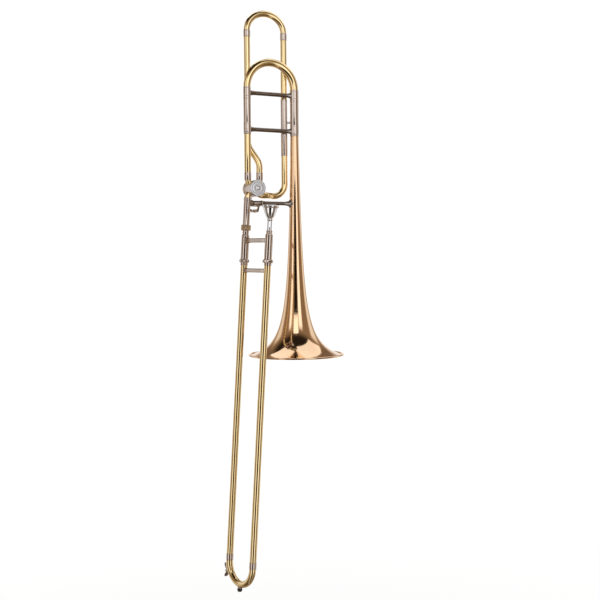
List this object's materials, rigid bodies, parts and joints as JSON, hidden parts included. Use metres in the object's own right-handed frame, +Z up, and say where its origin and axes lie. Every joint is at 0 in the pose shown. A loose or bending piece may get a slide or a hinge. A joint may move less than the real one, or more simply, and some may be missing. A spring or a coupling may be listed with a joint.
{
  "type": "trombone",
  "caption": "Tenor trombone with a rotary valve attachment: bell, tuning slides, thumb lever, telescoping hand slide, water key and mouthpiece, standing bell down.",
  "frame": {"origin": "centre of the bell's mouth, on the plane of its rolled rim, where a stand's cone holds the bell", "axes": "+Z runs up the bell section towards the tuning slide bows, and the neckpipe and hand slide are at -X. +Y is the side of the valve linkage. The hand slide leans away from the bell as it goes down"},
  "size_m": [0.2845, 0.216, 1.267],
  "materials": {
    "yellow_brass": "polished and lacquered yellow brass",
    "gold_brass": "polished and lacquered gold brass",
    "nickel_silver": "polished and lacquered nickel silver",
    "nut_bronze": "knurled nickel silver under tinted lacquer",
    "valve_cap_metal": "satin nickel plate",
    "silver_plate": "polished silver plate",
    "slide_chrome": "hard chrome plate",
    "spring_steel": "drawn steel",
    "black_rubber": "matte moulded rubber",
    "cork": "pressed cork"
  },
  "bodies": {
    "bell_section": {"bell": "gold_brass", "bell_ferrule": "nickel_silver", "bell_side_sleeve": "nickel_silver", "neck_ferrule": "nickel_silver", "neck_side_sleeve": "nickel_silver", "lower_main_brace": "nickel_silver", "main_leg_tube": "yellow_brass", "valve_ferrules": "nickel_silver", "valve_casing": "nickel_silver", "valve_knuckles": "yellow_brass", "valve_cap": "valve_cap_metal", "bearing_plate": "nickel_silver", "stop_plate": "nickel_silver", "stop_bumpers": "black_rubber", "neckpipe": "nickel_silver", "bell_brace": "nickel_silver", "lever_saddle": "nickel_silver", "lever_pin": "spring_steel", "lever_spring": "spring_steel", "upper_branch": "yellow_brass", "lower_branch": "yellow_brass", "f_sleeve_left": "nickel_silver", "f_sleeve_right": "nickel_silver", "f_stays": "nickel_silver"},
    "rotor_unit": {"rotor": "nickel_silver", "stop_arm": "nickel_silver"},
    "thumb_lever_unit": {"thumb_lever": "nickel_silver"},
    "linkage_unit": {"linkage_rod": "nickel_silver"},
    "main_tuning_slide": {"main_bow": "yellow_brass", "main_bow_ferrules": "nickel_silver", "main_inner_legs": "nickel_silver", "upper_main_brace": "nickel_silver"},
    "f_tuning_slide": {"f_bow": "yellow_brass", "f_bow_ferrules": "nickel_silver", "f_legs": "yellow_brass"},
    "coupling_nut_unit": {"coupling_nut": "nut_bronze"},
    "inner_slide": {"slide_tenon": "nickel_silver", "neck_barrel": "nickel_silver", "mouthpiece_barrel": "nickel_silver", "neck_inner_tube": "slide_chrome", "mouthpiece_inner_tube": "slide_chrome", "barrel_corks": "cork", "neck_end_ring": "nickel_silver", "left_hand_brace": "nickel_silver", "mouthpiece_receiver": "nickel_silver"},
    "lock_ring_unit": {"lock_ring": "nickel_silver"},
    "mouthpiece_unit": {"mouthpiece": "silver_plate"},
    "outer_slide": {"neck_outer_tube": "yellow_brass", "mouthpiece_outer_tube": "yellow_brass", "outer_bands": "nickel_silver", "right_hand_brace": "nickel_silver", "crook_ferrules": "nickel_silver", "slide_crook": "yellow_brass", "bumper_socket": "nickel_silver", "slide_bumper": "black_rubber", "water_key_saddle": "nickel_silver", "water_key_pin": "spring_steel", "water_key_spring": "spring_steel"},
    "water_key_unit": {"water_key_lever": "nickel_silver", "water_key_cork": "black_rubber"}
  },
  "joints": [
    {"name": "hand_slide", "type": "slide", "parent": "inner_slide", "child": "outer_slide", "axis": [-0.064, 0, -0.9979], "range_m": [0, 0.6]},
    {"name": "slide_swivel", "type": "hinge", "parent": "bell_section", "child": "inner_slide", "pos_m": [-0.1143, 0, 0.375], "axis": [0.064, 0, 0.9979], "range_deg": [-100, 8]},
    {"name": "coupling_nut_turn", "type": "hinge", "parent": "inner_slide", "child": "coupling_nut_unit", "pos_m": [-0.1143, 0, 0.375], "axis": [0.064, 0, 0.9979], "continuous": true},
    {"name": "lock_ring_turn", "type": "hinge", "parent": "inner_slide", "child": "lock_ring_unit", "pos_m": [-0.09519, -0.0823, 0.37377], "axis": [0.064, 0, 0.9979], "range_deg": [0, 30]},
    {"name": "mouthpiece_pull", "type": "slide", "parent": "inner_slide", "child": "mouthpiece_unit", "axis": [0.064, 0, 0.9979], "range_m": [0, 0.035]},
    {"name": "main_tuning", "type": "slide", "parent": "bell_section", "child": "main_tuning_slide", "axis": [0, 0, 1], "range_m": [0, 0.045]},
    {"name": "f_tuning", "type": "slide", "parent": "bell_section", "child": "f_tuning_slide", "axis": [0, 0, 1], "range_m": [0, 0.065]},
    {"name": "thumb_press", "type": "hinge", "parent": "bell_section", "child": "thumb_lever_unit", "pos_m": [-0.096, 0.0095, 0.3365], "axis": [-1, 0, 0], "range_deg": [0, 30], "stiffness_Nm_per_rad": 0.06, "springref_deg": -34.38},
    {"name": "rotor_turn", "type": "hinge", "parent": "bell_section", "child": "rotor_unit", "pos_m": [-0.10035, 0, 0.3715], "axis": [0, 1, 0], "range_deg": [0, 90]},
    {"name": "link_swing", "type": "hinge", "parent": "thumb_lever_unit", "child": "linkage_unit", "pos_m": [-0.0935, 0.03075, 0.34219], "axis": [-1, 0, 0], "range_deg": [-30, 0]},
    {"name": "water_key_press", "type": "hinge", "parent": "outer_slide", "child": "water_key_unit", "pos_m": [-0.16979, 0.00658, -0.46614], "axis": [-0.972, -0.2267, 0.0623], "range_deg": [0, 20], "stiffness_Nm_per_rad": 0.02, "springref_deg": -34.38}
  ],
  "couplings": [
    {"joint": "rotor_turn", "follows": "thumb_press", "ratio": 3},
    {"joint": "link_swing", "follows": "thumb_press", "ratio": -1}
  ]
}
